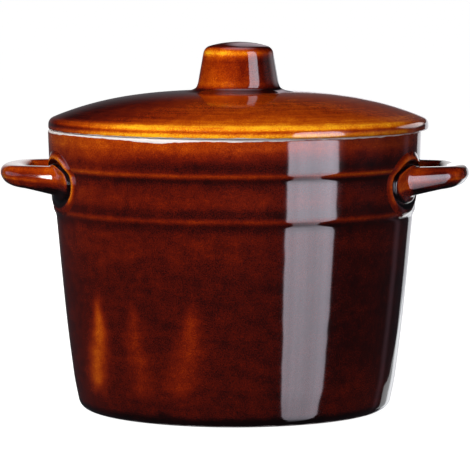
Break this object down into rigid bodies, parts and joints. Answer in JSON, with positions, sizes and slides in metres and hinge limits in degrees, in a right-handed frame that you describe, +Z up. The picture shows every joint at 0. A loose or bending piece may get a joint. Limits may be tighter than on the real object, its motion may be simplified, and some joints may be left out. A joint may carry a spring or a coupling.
{
  "type": "stoneware storage jar",
  "caption": "Brown-glazed stoneware jar: a straight-sided pot with stepped wall and side loop handles, closed by a loose domed lid with a knob, for keeping dry goods, fat or pickles.",
  "frame": {"origin": "middle of the foot ring, on the surface that the jar stands on", "axes": "+Z up through the pot's turning axis, +X towards the right handle, -Y towards the viewer"},
  "size_m": [0.235, 0.1904, 0.1834],
  "materials": {
    "brown_glaze": "glossy red-brown glaze that breaks amber on edges, over a pale stoneware body"
  },
  "bodies": {
    "pot": {"pot_body": "brown_glaze", "left_handle": "brown_glaze", "right_handle": "brown_glaze"},
    "lid": {"lid": "brown_glaze", "lid_knob": "brown_glaze"}
  },
  "joints": [
    {"name": "lid_lift", "type": "slide", "parent": "pot", "child": "lid", "axis": [0, 0, 1], "range_m": [0, 0.2]}
  ]
}
